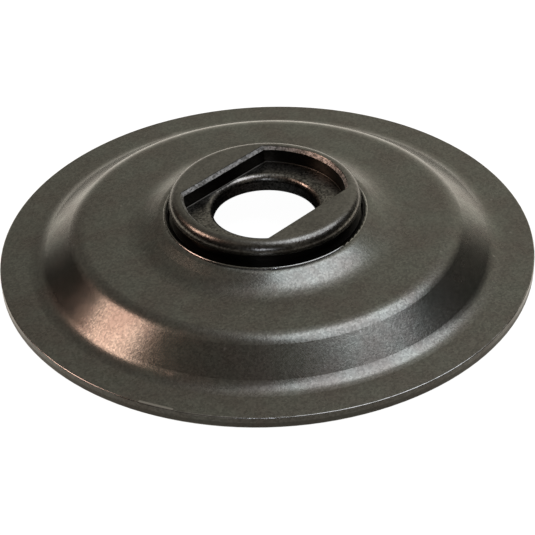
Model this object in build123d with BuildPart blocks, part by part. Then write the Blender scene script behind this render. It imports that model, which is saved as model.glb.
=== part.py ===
from build123d import *
import os

# Clamping flange for a cutting wheel: a pressed steel dish with a keyed hub set in its crown.
# Frame: origin at the centre of the rim's clamping face, +Z up the axis towards the hub's nose,
# and the two flats of the hub's socket parallel to X. Sizes are in millimetres.

# Pressed dish
rim_radius = 51.5            # half of the 103 mm outer diameter
sheet = 2.2                  # thickness of the pressed steel
land_height = 7.8            # upper face of the flat land between the two cones
crown_height = 9.85          # upper face of the crown round the hub
rim_inner_radius = 44.3      # corner between the rim and the outer cone
land_outer_radius = 36.4     # corner between the outer cone and the land
land_inner_radius = 24.6     # corner between the land and the inner cone
crown_radius = 20.1          # corner between the inner cone and the crown

# Bend radii on the upper face of the sheet
rim_bend = 5.5
land_outer_bend = 5.2
land_inner_bend = 11.0
crown_bend = 2.6
edge_round = 0.2             # sheared edges of the rim

# Drive hub
hub_height = 14.1            # upper face of the nose
nose_radius = 18.35          # outside of the rounded lip
nose_round = 1.9
nose_underside = 11.75
nose_lower_round = 0.25
neck_radius = 16.45          # bottom of the groove under the lip
socket_radius = 15.4         # round ends of the drive socket
socket_flat = 10.8           # half of the distance across the socket's flats
socket_floor = 10.65         # upper face of the bolt seat
socket_corner = 0.4          # upright corners between the flats and the round ends
socket_foot = 0.25           # small round where the walls meet the bolt seat
mouth_chamfer = 0.65         # rough broken edge round the mouth of the socket

# Seating of the hub in the dish
seat_radius = 18.45          # recess in the crown for the hub's flange
seat_depth = 1.2
seat_round = 0.85            # soft edge where the crown turns down into the recess
bead_radius = 19.3           # low bead thrown up round the recess
bead_size = 0.3
bead_rise = 0.17             # above the crown
flange_gap = 0.15            # all round the hub's flange
flange_thickness = 0.75
spigot_radius = 16.6         # hole in the dish, filled by the hub's spigot
collar_radius = 19.4
collar_thickness = 1.4
collar_chamfer = 0.35
foot_thickness = 0.5         # end of the spigot, staked out under the collar
foot_spread = 0.7

# Bolt seat
arbor_bore_radius = 10.03    # slides on a 20 mm arbor
seat_ring_thickness = 3.4
bore_lead_in = 1.3           # rounding at the top of the bore
bore_exit = 0.3              # chamfer at the bottom of the bore

# Levels that follow from the sizes above
seat_floor = crown_height - seat_depth
collar_top = crown_height - sheet
collar_bottom = collar_top - collar_thickness
hub_bottom = collar_bottom - foot_thickness
seat_ring_bottom = socket_floor - seat_ring_thickness
flange_radius = seat_radius - flange_gap
flange_top = seat_floor + flange_thickness
bead_centre = crown_height + bead_rise - bead_size
foot_radius = spigot_radius + foot_spread

os.makedirs("parts", exist_ok=True)

# Pressed dish: one even sheet from the crown out to the rim, with a turned seat in the crown
with BuildPart() as pressed_dish:
    with BuildSketch(Plane.XZ):
        with BuildLine():
            FilletPolyline(
                (0, crown_height),
                (crown_radius, crown_height),
                (land_inner_radius, land_height),
                (land_outer_radius, land_height),
                (rim_inner_radius, sheet),
                (rim_radius, sheet),
                radius=[crown_bend, land_inner_bend, land_outer_bend, rim_bend],
            )
            offset(amount=sheet, side=Side.RIGHT)
        make_face()
    revolve(axis=Axis.Z)
    with Locations((0, 0, crown_height)):
        CounterBoreHole(radius=spigot_radius, counter_bore_radius=seat_radius, counter_bore_depth=seat_depth)
    seat_edge = pressed_dish.edges(Select.LAST).sort_by(Axis.Z)[-1]
    fillet(seat_edge, radius=seat_round)
    with BuildSketch(Plane.XZ):
        with Locations((bead_radius, bead_centre)):
            Circle(bead_size)
    revolve(axis=Axis.Z)
    rim_edges = pressed_dish.edges().filter_by(GeomType.CIRCLE).group_by(SortBy.RADIUS)[-1]
    fillet(rim_edges, radius=edge_round)
pressed_dish.part.label = "pressed_dish"

# Drive hub: lip, groove, flange that bears on the dish, and a spigot staked under the collar
with BuildPart() as drive_hub:
    with BuildSketch(Plane.XZ):
        with BuildLine():
            FilletPolyline(
                (0, hub_bottom),
                (foot_radius, hub_bottom),
                (foot_radius, collar_bottom),
                (spigot_radius, collar_bottom),
                (spigot_radius, seat_floor),
                (flange_radius, seat_floor),
                (flange_radius, flange_top),
                (neck_radius, flange_top),
                (neck_radius, nose_underside),
                (nose_radius, nose_underside),
                (nose_radius, hub_height),
                (0, hub_height),
                radius=[0, 0, 0, 0, 0, 0, 0, 0, 0, nose_lower_round, nose_round, 0],
                close=True,
            )
        make_face()
    revolve(axis=Axis.Z)
    with BuildSketch(Plane.XY.offset(socket_floor)) as socket_outline:
        Circle(socket_radius)
        Rectangle(2 * socket_radius, 2 * socket_flat, mode=Mode.INTERSECT)
        fillet(socket_outline.vertices(), radius=socket_corner)
    extrude(amount=hub_height - socket_floor, mode=Mode.SUBTRACT)
    foot_edges = drive_hub.edges(Select.LAST).group_by(Axis.Z)[0]
    mouth_edges = drive_hub.edges(Select.LAST).group_by(Axis.Z)[-1]
    chamfer(mouth_edges, length=mouth_chamfer)
    fillet(foot_edges, radius=socket_foot)
    with BuildSketch(Plane.XY.offset(hub_bottom)):
        Circle(socket_radius)
    extrude(amount=socket_floor - hub_bottom, mode=Mode.SUBTRACT)
drive_hub.part.label = "drive_hub"

# Bolt seat: thick ring pressed into the hub from below, with the arbor's bore
with BuildPart() as bolt_seat:
    with BuildSketch(Plane.XY.offset(seat_ring_bottom)):
        Circle(socket_radius)
        Circle(arbor_bore_radius, mode=Mode.SUBTRACT)
    extrude(amount=seat_ring_thickness)
    bore_edges = bolt_seat.edges().filter_by(GeomType.CIRCLE).group_by(SortBy.RADIUS)[0].sort_by(Axis.Z)
    fillet(bore_edges[-1], radius=bore_lead_in)
    chamfer(bore_edges[0], length=bore_exit)
bolt_seat.part.label = "bolt_seat"

# Retaining collar: pressed on the spigot against the underside of the crown
with BuildPart() as retaining_collar:
    with BuildSketch(Plane.XY.offset(collar_bottom)):
        Circle(collar_radius)
        Circle(spigot_radius, mode=Mode.SUBTRACT)
    extrude(amount=collar_thickness)
    collar_edges = retaining_collar.edges().filter_by(GeomType.CIRCLE).group_by(SortBy.RADIUS)[-1]
    chamfer(collar_edges.sort_by(Axis.Z)[0], length=collar_chamfer)
retaining_collar.part.label = "retaining_collar"

export_step(pressed_dish.part, "parts/pressed_dish.step")
export_step(drive_hub.part, "parts/drive_hub.step")
export_step(bolt_seat.part, "parts/bolt_seat.step")
export_step(retaining_collar.part, "parts/retaining_collar.step")
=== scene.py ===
import bpy
import math
from mathutils import Matrix, Vector

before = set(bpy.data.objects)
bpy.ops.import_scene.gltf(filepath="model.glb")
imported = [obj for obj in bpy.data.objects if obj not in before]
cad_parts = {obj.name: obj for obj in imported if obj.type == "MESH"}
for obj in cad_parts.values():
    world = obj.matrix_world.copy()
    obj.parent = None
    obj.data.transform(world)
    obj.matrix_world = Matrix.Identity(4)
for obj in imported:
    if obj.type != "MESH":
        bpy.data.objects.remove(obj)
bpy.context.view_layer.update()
scene = bpy.context.scene
scene.view_settings.view_transform = "Standard"
mm = 0.001

print("frame loaded:", ", ".join(sorted(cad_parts)))


def addNode(tree, kind, place, **settings):
    node = tree.nodes.new(kind)
    node.location = place
    for name, value in settings.items():
        setattr(node, name, value)
    return node


def join(tree, source, target):
    tree.links.new(source, target)


def fill(tree, socket, value):
    # value is another node's output or a plain value
    if isinstance(value, bpy.types.NodeSocket):
        join(tree, value, socket)
    else:
        socket.default_value = value


def newGroup(name, inputs, outputs):
    # inputs are names with starting values, None for a vector, and every output is a plain value
    group = bpy.data.node_groups.new(name, "ShaderNodeTree")
    for label, value in inputs.items():
        kind = "NodeSocketVector" if value is None else "NodeSocketFloat"
        socket = group.interface.new_socket(name=label, in_out="INPUT", socket_type=kind)
        if value is not None:
            socket.default_value = value
    for label in outputs:
        group.interface.new_socket(name=label, in_out="OUTPUT", socket_type="NodeSocketFloat")
    given = addNode(group, "NodeGroupInput", (-1200, 0)).outputs
    made = addNode(group, "NodeGroupOutput", (1000, 0)).inputs
    return group, given, made


def placeGroup(tree, group, place, vector, values):
    node = addNode(tree, "ShaderNodeGroup", place, node_tree=group)
    join(tree, vector, node.inputs["Vector"])
    for label, value in values.items():
        node.inputs[label].default_value = value
    return node.outputs


def mathNode(tree, operation, place, *values):
    node = addNode(tree, "ShaderNodeMath", place, operation=operation)
    for socket, value in zip(node.inputs, values):
        fill(tree, socket, value)
    return node.outputs[0]


def rangeNode(tree, place, value, low, high, toLow=0.0, toHigh=1.0, smooth=True):
    node = addNode(tree, "ShaderNodeMapRange", place,
                   interpolation_type="SMOOTHSTEP" if smooth else "LINEAR")
    for label, setting in (("Value", value), ("From Min", low), ("From Max", high),
                           ("To Min", toLow), ("To Max", toHigh)):
        fill(tree, node.inputs[label], setting)
    return node.outputs["Result"]


def noiseNode(tree, place, vector, scale, detail, roughness, space="3D"):
    node = addNode(tree, "ShaderNodeTexNoise", place, noise_dimensions=space)
    for label, setting in (("Vector", vector), ("Scale", scale), ("Detail", detail), ("Roughness", roughness)):
        fill(tree, node.inputs[label], setting)
    return node.outputs["Fac"]


def colourMix(tree, place, factor, first, second, blend="MIX"):
    node = addNode(tree, "ShaderNodeMix", place, data_type="RGBA", blend_type=blend)
    for index, value in ((0, factor), (6, first), (7, second)):
        fill(tree, node.inputs[index], (*value, 1.0) if isinstance(value, tuple) else value)
    return node.outputs[2]


def radiusAndHeight(tree, place, vector):
    # distance from the flange's axis, and height above the rim's face
    split = addNode(tree, "ShaderNodeSeparateXYZ", place)
    join(tree, vector, split.inputs[0])
    x, y, height = split.outputs
    square = mathNode(tree, "MULTIPLY", (place[0] + 200, place[1] + 100), x, x)
    square = mathNode(tree, "MULTIPLY_ADD", (place[0] + 350, place[1] + 100), y, y, square)
    return mathNode(tree, "SQRT", (place[0] + 500, place[1] + 100), square), height


# crystals of the dark phosphate coat: relief, speckle of tone, slow clouds and a few bare flecks
grainNoise = {
    "relief": (1.0, 0.5),         # detail and roughness
    "cloud": (5.0, 0.6),
    "cloudSpan": (0.3, 0.7),      # noise that gives the darkest and the lightest tone
    "fleckSpan": (0.35, 0.1),     # from a cell's middle, where a fleck begins and where it is full
}


def makeGrainGroup():
    group, given, made = newGroup(
        "phosphateGrain",
        {"Vector": None, "Crystal Scale": 3000.0, "Cloud Scale": 90.0, "Fleck Scale": 1100.0,
         "Fleck Share": 0.03},
        ("Relief", "Speckle", "Tone", "Flecks"))

    def cells(place, scale):
        # one random value for each cell, and the distance from the cell's middle
        node = addNode(group, "ShaderNodeTexVoronoi", place, feature="F1")
        join(group, given["Vector"], node.inputs["Vector"])
        join(group, scale, node.inputs["Scale"])
        pick = addNode(group, "ShaderNodeSeparateColor", (place[0] + 200, place[1]))
        join(group, node.outputs["Color"], pick.inputs["Color"])
        return pick.outputs["Red"], node.outputs["Distance"]

    relief = noiseNode(group, (-800, 200), given["Vector"], given["Crystal Scale"], *grainNoise["relief"])
    join(group, relief, made["Relief"])
    join(group, cells((-800, 500), given["Crystal Scale"])[0], made["Speckle"])
    cloud = noiseNode(group, (-800, -100), given["Vector"], given["Cloud Scale"], *grainNoise["cloud"])
    join(group, rangeNode(group, (-500, -100), cloud, *grainNoise["cloudSpan"]), made["Tone"])
    fleck, fleckAway = cells((-800, -500), given["Fleck Scale"])
    limit = mathNode(group, "SUBTRACT", (-600, -700), 1.0, given["Fleck Share"])
    chosen = mathNode(group, "GREATER_THAN", (-400, -700), fleck, limit)
    small = rangeNode(group, (-400, -500), fleckAway, *grainNoise["fleckSpan"])
    join(group, mathNode(group, "MULTIPLY", (-200, -600), chosen, small), made["Flecks"])
    return group


# worn edge: 1 on the circle of the given radius and height, fading over the width, broken up by noise
wearNoise = {
    "noise": (6.0, 0.7),                    # detail and roughness
    "spread": (0.35, 0.65, -1.0, 0.3),      # noise from and to, and what it adds to the width
    "fade": (1.0, 0.3),                     # share of the width where wear begins and where it is full
    "least": 1e-6,                          # metres, the smallest width, so nothing is divided by zero
}


def makeRingWearGroup():
    group, given, made = newGroup(
        "ringWear",
        {"Vector": None, "Radius": 0.05, "Height": 0.0, "Width": 0.0003, "Breakup": 0.5,
         "Breakup Scale": 120.0},
        ("Mask",))
    radial, height = radiusAndHeight(group, (-900, 200), given["Vector"])
    across = mathNode(group, "SUBTRACT", (-250, 300), radial, given["Radius"])
    upwards = mathNode(group, "SUBTRACT", (-250, 100), height, given["Height"])
    square = mathNode(group, "MULTIPLY", (-100, 300), across, across)
    square = mathNode(group, "MULTIPLY_ADD", (50, 300), upwards, upwards, square)
    away = mathNode(group, "SQRT", (200, 300), square)
    noise = noiseNode(group, (-400, -200), given["Vector"], given["Breakup Scale"], *wearNoise["noise"])
    uneven = rangeNode(group, (-150, -200), noise, *wearNoise["spread"])
    scaled = mathNode(group, "MULTIPLY_ADD", (50, -100), uneven, given["Breakup"], 1.0)
    reach = mathNode(group, "MULTIPLY", (200, -50), scaled, given["Width"])
    reach = mathNode(group, "MAXIMUM", (350, -50), reach, wearNoise["least"])
    near = mathNode(group, "DIVIDE", (450, 100), away, reach)
    join(group, rangeNode(group, (600, 100), near, *wearNoise["fade"]), made["Mask"])
    return group


# band: 1 inside a radius and between two heights, with soft ends and an uneven edge
bandNoise = {
    "noise": (2.0, 0.5),        # detail and roughness
    "middle": 0.5,              # noise that leaves the edge where it is
}


def makeBandGroup():
    group, given, made = newGroup(
        "heightBand",
        {"Vector": None, "Radius": 0.02, "Low": 0.0, "High": 0.01, "Softness": 0.0001, "Breakup": 0.0,
         "Breakup Scale": 1500.0},
        ("Mask",))
    radial, height = radiusAndHeight(group, (-900, 200), given["Vector"])
    inside = mathNode(group, "LESS_THAN", (-200, 300), radial, given["Radius"])
    noise = noiseNode(group, (-700, -300), given["Vector"], given["Breakup Scale"], *bandNoise["noise"])
    shifted = mathNode(group, "SUBTRACT", (-500, -300), noise, bandNoise["middle"])
    level = mathNode(group, "MULTIPLY_ADD", (-300, -100), shifted, given["Breakup"], height)
    lowEnd = mathNode(group, "ADD", (-300, -450), given["Low"], given["Softness"])
    highEnd = mathNode(group, "SUBTRACT", (-300, -600), given["High"], given["Softness"])
    above = rangeNode(group, (0, 0), level, given["Low"], lowEnd)
    below = rangeNode(group, (0, -300), level, given["High"], highEnd)
    both = mathNode(group, "MULTIPLY", (300, 0), above, below)
    join(group, mathNode(group, "MULTIPLY", (500, 100), both, inside), made["Mask"])
    return group


# scratch: 1 along one short straight line
scratchCore = 0.3       # share of its half width that is fully scratched


def makeScratchGroup():
    group, given, made = newGroup(
        "shortScratch",
        {"Vector": None, "Middle": None, "Along": None, "Half Length": 0.001, "Width": 0.0001},
        ("Mask",))

    def vectorNode(operation, place, first, label=None, second=None):
        node = addNode(group, "ShaderNodeVectorMath", place, operation=operation)
        join(group, first, node.inputs[0])
        if label is not None:
            join(group, second, node.inputs[label])
        return node.outputs

    offset = vectorNode("SUBTRACT", (-900, 0), given["Vector"], 1, given["Middle"])["Vector"]
    reach = vectorNode("DOT_PRODUCT", (-700, 200), offset, 1, given["Along"])["Value"]
    reach = mathNode(group, "MINIMUM", (-500, 200), reach, given["Half Length"])
    backwards = mathNode(group, "MULTIPLY", (-500, 400), given["Half Length"], -1.0)
    reach = mathNode(group, "MAXIMUM", (-300, 200), reach, backwards)
    foot = vectorNode("SCALE", (-100, 200), given["Along"], "Scale", reach)["Vector"]
    rest = vectorNode("SUBTRACT", (100, 0), offset, 1, foot)["Vector"]
    away = vectorNode("LENGTH", (300, 0), rest)["Value"]
    core = mathNode(group, "MULTIPLY", (300, -200), given["Width"], scratchCore)
    join(group, rangeNode(group, (500, 0), away, given["Width"], core), made["Mask"])
    return group


# concentric tool marks round the axis
latheNoise = (1.0, 2.0, 0.5)        # scale, with the pitch as unit, detail and roughness


def makeLatheGroup():
    group, given, made = newGroup("latheMarks", {"Vector": None, "Pitch": 0.0002}, ("Relief",))
    radial, height = radiusAndHeight(group, (-900, 0), given["Vector"])
    steps = mathNode(group, "DIVIDE", (-250, 100), radial, given["Pitch"])
    rise = mathNode(group, "DIVIDE", (-250, -100), height, given["Pitch"])
    place = addNode(group, "ShaderNodeCombineXYZ", (-50, 0))
    join(group, steps, place.inputs["X"])
    join(group, rise, place.inputs["Y"])
    join(group, noiseNode(group, (150, 0), place.outputs[0], *latheNoise, space="2D"), made["Relief"])
    return group


grainGroup = makeGrainGroup()
ringWearGroup = makeRingWearGroup()
bandGroup = makeBandGroup()
scratchGroup = makeScratchGroup()
latheGroup = makeLatheGroup()
print("node groups ready")


def bumpNode(tree, place, height, depth):
    node = addNode(tree, "ShaderNodeBump", place)
    node.inputs["Strength"].default_value = 1.0
    node.inputs["Distance"].default_value = depth * mm
    join(tree, height, node.inputs["Height"])
    return node


def bareSteelShare(tree, where, settings):
    # bare metal where edges rub and along the scratches
    share = None
    for index, (radius, height, width, breakup) in enumerate(settings["wornEdges"]):
        low = -500 - 220 * index
        ring = placeGroup(tree, ringWearGroup, (-1000, low), where, {
            "Radius": radius * mm, "Height": height * mm, "Width": width * mm, "Breakup": breakup})
        if share is None:
            share = ring["Mask"]
        else:
            share = mathNode(tree, "MAXIMUM", (-700, low), share, ring["Mask"])
    share = mathNode(tree, "MULTIPLY", (-400, -300), share, settings["wearAmount"])
    for index, (middle, angle, length, width, amount) in enumerate(settings["scratches"]):
        low = -1400 - 260 * index
        along = (math.cos(math.radians(angle)), math.sin(math.radians(angle)), 0.0)
        scratch = placeGroup(tree, scratchGroup, (-1000, low), where, {
            "Middle": [value * mm for value in middle], "Along": along,
            "Half Length": length * mm / 2, "Width": width * mm})
        line = mathNode(tree, "MULTIPLY", (-700, low), scratch["Mask"], amount)
        share = mathNode(tree, "MAXIMUM", (-500, low), share, line)
    return share


def makeDarkSteel(name, settings):
    material = bpy.data.materials.new(name)
    material.use_nodes = True
    tree = material.node_tree
    tree.nodes.clear()
    output = addNode(tree, "ShaderNodeOutputMaterial", (1500, 0))
    shader = addNode(tree, "ShaderNodeBsdfPrincipled", (1200, 0))
    join(tree, shader.outputs[0], output.inputs["Surface"])
    shader.inputs["Metallic"].default_value = 1.0
    where = addNode(tree, "ShaderNodeTexCoord", (-1400, 0)).outputs["Object"]
    grain = placeGroup(tree, grainGroup, (-1000, 200), where, {
        "Crystal Scale": settings["crystalScale"], "Cloud Scale": settings["cloudScale"],
        "Fleck Scale": settings["fleckScale"], "Fleck Share": settings["fleckShare"]})
    lathe = placeGroup(tree, latheGroup, (-1000, -200), where, {"Pitch": settings["toolPitch"]})

    # coat: slow change of tone, each crystal a little lighter or darker, and a few bare flecks
    colour = colourMix(tree, (-600, 300), grain["Tone"], settings["darkTone"], settings["lightTone"])
    speckled = addNode(tree, "ShaderNodeHueSaturation", (-400, 300))
    lightness = rangeNode(tree, (-600, 100), grain["Speckle"], 0.0, 1.0,
                          1.0 - settings["speckle"], 1.0 + settings["speckle"], smooth=False)
    join(tree, lightness, speckled.inputs["Value"])
    join(tree, colour, speckled.inputs["Color"])
    flecks = mathNode(tree, "MULTIPLY", (-700, 0), grain["Flecks"], settings["fleckAmount"])
    colour = colourMix(tree, (-150, 300), flecks, speckled.outputs["Color"], settings["bareSteel"])
    rough = rangeNode(tree, (-400, 0), grain["Tone"], 0.0, 1.0,
                      settings["roughness"] + settings["roughSpread"],
                      settings["roughness"] - settings["roughSpread"], smooth=False)

    for index, band in enumerate(settings["bands"]):
        high = 600 + 200 * index
        mask = placeGroup(tree, bandGroup, (-1000, high), where, {
            "Radius": band["radius"] * mm, "Low": band["low"] * mm, "High": band["high"] * mm,
            "Softness": band["softness"] * mm, "Breakup": band["breakup"] * mm})["Mask"]
        share = mathNode(tree, "MULTIPLY", (-300, high), mask, band["share"])
        speck = rangeNode(tree, (-500, high + 100), grain["Speckle"], *band["speck"], smooth=False)
        share = mathNode(tree, "MULTIPLY", (-100, high), share, speck)
        colour = colourMix(tree, (0, high - 100), share, colour, band["tone"])
        rough = rangeNode(tree, (0, high - 200), mask, 0.0, 1.0, rough, band["rough"], smooth=False)

    bareShare = bareSteelShare(tree, where, settings)
    colour = colourMix(tree, (100, 300), bareShare, colour, settings["bareSteel"])
    join(tree, colour, shader.inputs["Base Color"])
    rough = mathNode(tree, "MULTIPLY_ADD", (-150, 0), bareShare, -settings["wearPolish"], rough)
    join(tree, rough, shader.inputs["Roughness"])

    bump = bumpNode(tree, (600, -300), grain["Relief"], settings["grainDepth"])
    marks = bumpNode(tree, (850, -300), lathe["Relief"], settings["toolDepth"])
    join(tree, bump.outputs["Normal"], marks.inputs["Normal"])
    join(tree, marks.outputs["Normal"], shader.inputs["Normal"])
    return material


def dressNode(nodeName, material):
    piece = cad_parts[nodeName]
    piece.data.materials.clear()
    piece.data.materials.append(material)


# In the next four, lengths are in mm, except toolPitch in metres, and the three scales count per metre.
# bands: inside a radius and from low to high. speck is a range of each crystal's own value, then the share
# of the band's tone that it gives. A later band lies over an earlier one.
# wornEdges: radius, height, width, unevenness.
# scratches: middle, angle from +X in degrees, length, half width, share of bare steel.

# pressed dish: blanked and pressed from sheet, then phosphated and oiled
dish = {
    "darkTone": (0.154, 0.141, 0.123),
    "lightTone": (0.179, 0.183, 0.161),
    "bareSteel": (0.50, 0.48, 0.45),
    "roughness": 0.25,
    "roughSpread": 0.03,
    "crystalScale": 2900.0,
    "cloudScale": 120.0,
    "fleckScale": 900.0,
    "fleckShare": 0.01,
    "fleckAmount": 0.30,
    "grainDepth": 0.011,
    "speckle": 0.21,
    "toolPitch": 0.00025,
    "toolDepth": 0.0006,
    "wearAmount": 0.7,
    "wearPolish": 0.08,
    "bands": [
        # painted shade: the recess in the crown, darkened where shade falls between hub and dish
        {"radius": 19.2, "low": 7.5, "high": 9.98, "softness": 0.12, "breakup": 0.05,
         "share": 0.85, "rough": 0.35, "speck": (0.0, 1.0, 0.9, 1.0), "tone": (0.035, 0.032, 0.027)},
        # torn lower part of the rim's sheared edge
        {"radius": 60.0, "low": -0.5, "high": 1.15, "softness": 0.06, "breakup": 0.35,
         "share": 0.5, "rough": 0.42, "speck": (0.0, 1.0, 0.6, 1.0), "tone": (0.085, 0.080, 0.068)},
    ],
    "wornEdges": [(51.42, 2.15, 0.22, 0.9), (51.5, 0.1, 0.2, 0.8), (19.52, 9.95, 0.16, 0.3)],
    "scratches": [
        ((-24.4, -18.0, 7.8), -8, 1.8, 0.13, 0.22),
        ((-47.38, -19.14, 2.17), 112, 6.0, 0.38, 0.8),
        ((-50.7, 8.9, 2.2), 70, 0.5, 0.22, 0.6),
        ((30.2, -7.6, 7.8), 25, 2.6, 0.09, 0.16),
        ((-8.4, 31.0, 7.8), 110, 1.9, 0.10, 0.20),
        ((12.5, 47.0, 2.2), 5, 3.2, 0.08, 0.16),
        ((46.1, 9.3, 2.2), 150, 1.5, 0.10, 0.20),
    ],
}
dressNode("pressed_dish", makeDarkSteel("pressedSteel", dish))

# drive hub: turned from bar, so its faces carry tool marks
hub = {
    "darkTone": (0.138, 0.132, 0.116),
    "lightTone": (0.178, 0.172, 0.154),
    "bareSteel": (0.50, 0.48, 0.45),
    "roughness": 0.24,
    "roughSpread": 0.03,
    "crystalScale": 2900.0,
    "cloudScale": 160.0,
    "fleckScale": 900.0,
    "fleckShare": 0.01,
    "fleckAmount": 0.25,
    "grainDepth": 0.012,
    "speckle": 0.22,
    "toolPitch": 0.0002,
    "toolDepth": 0.0012,
    "wearAmount": 0.6,
    "wearPolish": 0.06,
    "bands": [
        # brown specks on the rounded lip
        {"radius": 20.0, "low": 11.5, "high": 14.0, "softness": 0.35, "breakup": 0.4,
         "share": 0.6, "rough": 0.27, "speck": (0.1, 0.8, 1.0, 0.0), "tone": (0.060, 0.050, 0.040)},
        # rough broken edge at the mouth of the socket
        {"radius": 16.3, "low": 13.35, "high": 14.03, "softness": 0.05, "breakup": 0.12,
         "share": 0.9, "rough": 0.5, "speck": (0.2, 0.9, 0.15, 1.0), "tone": (0.52, 0.50, 0.46)},
        # painted shade: the socket's walls, darkened nearly to black where shade falls in the pocket
        {"radius": 15.6, "low": 10.75, "high": 13.5, "softness": 0.1, "breakup": 0.1,
         "share": 0.75, "rough": 0.35, "speck": (0.0, 1.0, 0.9, 1.0), "tone": (0.012, 0.011, 0.009)},
        # painted shade: the groove under the lip, darkened where shade falls beneath it
        {"radius": 18.6, "low": 8.5, "high": 11.7, "softness": 0.1, "breakup": 0.1,
         "share": 0.85, "rough": 0.35, "speck": (0.0, 1.0, 0.9, 1.0), "tone": (0.04, 0.036, 0.030)},
    ],
    "wornEdges": [(18.25, 11.85, 0.15, 0.7)],
    "scratches": [
        ((13.1, -7.4, 14.1), 35, 2.2, 0.09, 0.16),
        ((-6.0, 13.2, 14.1), 160, 1.4, 0.09, 0.16),
    ],
}
dressNode("drive_hub", makeDarkSteel("turnedSteel", hub))

# bolt seat: coarse, with a polished lead-in where bolts have entered
seat = {
    "darkTone": (0.115, 0.108, 0.092),
    "lightTone": (0.165, 0.157, 0.138),
    "bareSteel": (0.48, 0.44, 0.40),
    "roughness": 0.30,
    "roughSpread": 0.04,
    "crystalScale": 2900.0,
    "cloudScale": 260.0,
    "fleckScale": 700.0,
    "fleckShare": 0.03,
    "fleckAmount": 0.12,
    "grainDepth": 0.03,
    "speckle": 0.7,
    "toolPitch": 0.0002,
    "toolDepth": 0.001,
    "wearAmount": 0.5,
    "wearPolish": 0.05,
    "bands": [],
    "wornEdges": [(10.6, 10.1, 0.6, 0.8)],
    "scratches": [],
}
dressNode("bolt_seat", makeDarkSteel("seatSteel", seat))

# retaining collar, under the crown
collar = {
    "darkTone": (0.135, 0.130, 0.114),
    "lightTone": (0.175, 0.169, 0.150),
    "bareSteel": (0.48, 0.46, 0.43),
    "roughness": 0.26,
    "roughSpread": 0.03,
    "crystalScale": 2900.0,
    "cloudScale": 160.0,
    "fleckScale": 900.0,
    "fleckShare": 0.03,
    "fleckAmount": 0.08,
    "grainDepth": 0.02,
    "speckle": 0.20,
    "toolPitch": 0.0002,
    "toolDepth": 0.0012,
    "wearAmount": 0.5,
    "wearPolish": 0.05,
    "bands": [],
    "wornEdges": [(19.4, 6.5, 0.4, 0.8)],
    "scratches": [],
}
dressNode("retaining_collar", makeDarkSteel("collarSteel", collar))
print("finishes made")


view = {
    "heading": 45.0,        # degrees, the camera looks towards +X +Y
    "elevation": 35.567,
    "distance": 0.3096,
    "lens": 106.8,
    "sensor": 36.0,
    "clip": (0.01, 20.0),
    "tilt": -0.613,
    "roll": 2.29,
}


def lookDirection(heading, elevation):
    # unit vector from a point at this elevation towards the origin
    side, rise = math.radians(heading), math.radians(elevation)
    return Vector((math.sin(side) * math.cos(rise), math.cos(side) * math.cos(rise), -math.sin(rise)))


def makeCamera():
    data = bpy.data.cameras.new("camera")
    data.lens = view["lens"]
    data.sensor_width = view["sensor"]
    data.clip_start, data.clip_end = view["clip"]
    camera = bpy.data.objects.new("camera", data)
    scene.collection.objects.link(camera)
    ahead = lookDirection(view["heading"], view["elevation"])
    right = ahead.cross(Vector((0, 0, 1))).normalized()
    above = right.cross(ahead)
    turn = Matrix((right, above, -ahead)).transposed()
    turn = turn @ Matrix.Rotation(math.radians(view["tilt"]), 3, "X")
    turn = turn @ Matrix.Rotation(math.radians(-view["roll"]), 3, "Z")
    camera.matrix_world = Matrix.Translation(-ahead * view["distance"]) @ turn.to_4x4()
    scene.camera = camera


makeCamera()
print("camera placed")


# side is measured from the way the camera looks, to its right, and rise from the floor, both in degrees
lamps = {
    "warmLamp": {"side": -82.0, "rise": 44.0, "away": 0.6, "across": 0.21,
                 "power": 0.75, "colour": (1.0, 0.675, 0.575)},
    "coolLamp": {"side": 76.0, "rise": 67.0, "away": 0.6, "across": 0.46,
                 "power": 1.38, "colour": (0.88, 0.94, 1.08)},
    "ceilingLamp": {"side": 25.0, "rise": 65.0, "away": 0.6, "across": 0.36,
                    "power": 0.16, "colour": (0.95, 0.97, 1.0)},
    "frontLamp": {"side": 184.0, "rise": 25.0, "away": 0.7, "across": 0.10,
                  "power": 0.36, "colour": (0.85, 0.92, 1.10)},
}


def makeLamp(name, settings):
    data = bpy.data.lights.new(name, "AREA")
    data.shape = "DISK"
    data.size = settings["across"]
    data.energy = settings["power"]
    data.color = settings["colour"]
    lamp = bpy.data.objects.new(name, data)
    scene.collection.objects.link(lamp)
    towards = lookDirection(view["heading"] + settings["side"], -settings["rise"])
    lamp.location = towards * settings["away"]
    lamp.rotation_euler = towards.to_track_quat("Z", "Y").to_euler()


for lampName, lampSettings in lamps.items():
    makeLamp(lampName, lampSettings)
print("lamps hung")


def cameraRay(tree, place):
    return addNode(tree, "ShaderNodeLightPath", place).outputs["Is Camera Ray"]


# The room is dark behind the camera, grey round the sides, pale on a wall to the right and brightest low
# down beyond the flange. A reach runs from where a part starts to where it is full, as the cosine of the
# angle from its middle.
room = {
    "behindTone": (0.07, 0.065, 0.058),
    "sideTone": (0.22, 0.207, 0.184),
    "sideReach": (-0.65, -0.15),
    "wallTone": (0.56, 0.540, 0.472),
    "wallSide": 32.0,               # degrees to the right of the way the camera looks
    "wallReach": (0.35, 0.95),
    "backTone": (0.95, 0.90, 0.81),
    "backRise": (0.38, -0.10),      # sine of the rise where the band starts and where it is full
    "backReach": (0.66, 0.95),
    "endShade": 0.13,               # share of the light left towards the far left and the far right
    "endReach": (0.58, 0.71),
    "backdrop": (1.0, 1.0, 1.0),    # what the camera sees past the floor
}


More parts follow.
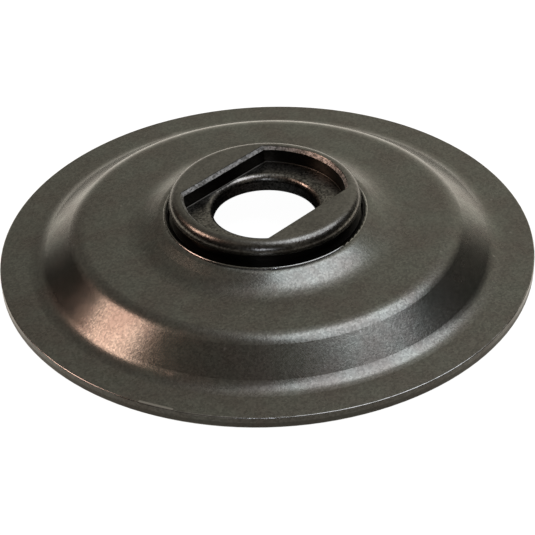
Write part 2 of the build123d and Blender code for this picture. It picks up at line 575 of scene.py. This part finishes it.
def makeRoom():
    world = bpy.data.worlds.new("studioRoom")
    world.use_nodes = True
    tree = world.node_tree
    tree.nodes.clear()
    output = addNode(tree, "ShaderNodeOutputWorld", (1100, 0))
    glow = addNode(tree, "ShaderNodeBackground", (900, 0))
    join(tree, glow.outputs[0], output.inputs["Surface"])
    direction = addNode(tree, "ShaderNodeTexCoord", (-900, 0)).outputs["Generated"]

    def along(side, place):
        dot = addNode(tree, "ShaderNodeVectorMath", place, operation="DOT_PRODUCT")
        join(tree, direction, dot.inputs[0])
        dot.inputs[1].default_value = lookDirection(view["heading"] + side, 0.0)
        return dot.outputs["Value"]

    height = addNode(tree, "ShaderNodeSeparateXYZ", (-600, 500))
    join(tree, direction, height.inputs[0])
    towardsWall = along(room["wallSide"], (-600, -300))
    onSide = rangeNode(tree, (-300, -450), towardsWall, *room["sideReach"])
    onWall = rangeNode(tree, (-300, -300), towardsWall, *room["wallReach"])
    tone = colourMix(tree, (-100, -300), onSide, room["behindTone"], room["sideTone"])
    tone = colourMix(tree, (50, -200), onWall, tone, room["wallTone"])
    low = rangeNode(tree, (-300, 500), height.outputs["Z"], *room["backRise"])
    ahead = rangeNode(tree, (-300, 200), along(0.0, (-600, 200)), *room["backReach"])
    onBack = mathNode(tree, "MULTIPLY", (0, 300), low, ahead)
    tone = colourMix(tree, (200, 0), onBack, tone, room["backTone"])
    sideways = mathNode(tree, "ABSOLUTE", (-400, -600), along(90.0, (-600, -600)))
    shade = rangeNode(tree, (-200, -600), sideways, *room["endReach"], 1.0, room["endShade"])
    tone = colourMix(tree, (450, 0), 1.0, tone, shade, "MULTIPLY")
    shown = colourMix(tree, (700, 0), cameraRay(tree, (450, -300)), tone, room["backdrop"])
    join(tree, shown, glow.inputs["Color"])
    scene.world = world


makeRoom()
print("room made")


floorLook = {
    "half": 3.0,                    # metres from its middle to its sides
    "drop": 0.02,                   # mm below the rim's face
    "tone": (0.15, 0.15, 0.15),
    "roughness": 0.9,
    "specular": 0.1,
    "seenGlow": (1.0, 1.0, 1.0),    # keeps it pale for the camera
    "seenStrength": 0.98,
    "givenGlow": (1.0, 0.93, 0.83),     # the light it gives the flange
    "far": 1.20,                    # strength of that light beyond the flange, and before it
    "near": 0.19,
    "reach": (-0.065, 0.02),        # metres along the camera's heading, from near to far
    "hidden": (0.045, 0.052),       # metres from the axis, where the flange stops covering it
}


def makeFloor():
    mesh = bpy.data.meshes.new("studioFloor")
    half = floorLook["half"]
    corners = [(-half, -half, 0), (half, -half, 0), (half, half, 0), (-half, half, 0)]
    mesh.from_pydata(corners, [], [(0, 1, 2, 3)])
    floor = bpy.data.objects.new("studioFloor", mesh)
    floor.location.z = -floorLook["drop"] * mm
    scene.collection.objects.link(floor)
    material = bpy.data.materials.new("paleFloor")
    material.use_nodes = True
    tree = material.node_tree
    shader = tree.nodes["Principled BSDF"]
    shader.inputs["Base Color"].default_value = (*floorLook["tone"], 1.0)
    shader.inputs["Roughness"].default_value = floorLook["roughness"]
    shader.inputs["Specular IOR Level"].default_value = floorLook["specular"]
    place = addNode(tree, "ShaderNodeTexCoord", (-1400, 0)).outputs["Object"]
    ahead = addNode(tree, "ShaderNodeVectorMath", (-1200, 200), operation="DOT_PRODUCT")
    join(tree, place, ahead.inputs[0])
    ahead.inputs[1].default_value = lookDirection(view["heading"], 0.0)
    given = rangeNode(tree, (-1000, 200), ahead.outputs["Value"], *floorLook["reach"],
                      floorLook["near"], floorLook["far"])
    away = addNode(tree, "ShaderNodeVectorMath", (-1200, -200), operation="LENGTH")
    join(tree, place, away.inputs[0])
    outside = rangeNode(tree, (-1000, -200), away.outputs["Value"], *floorLook["hidden"])
    given = mathNode(tree, "MULTIPLY", (-800, 0), given, outside)
    toCamera = cameraRay(tree, (-800, 300))
    strength = addNode(tree, "ShaderNodeMix", (-500, 0), data_type="FLOAT")
    for index, value in ((0, toCamera), (2, given), (3, floorLook["seenStrength"])):
        fill(tree, strength.inputs[index], value)
    join(tree, strength.outputs[0], shader.inputs["Emission Strength"])
    glow = colourMix(tree, (-500, 300), toCamera, floorLook["givenGlow"], floorLook["seenGlow"])
    join(tree, glow, shader.inputs["Emission Color"])
    mesh.materials.append(material)


makeFloor()
print("floor laid")
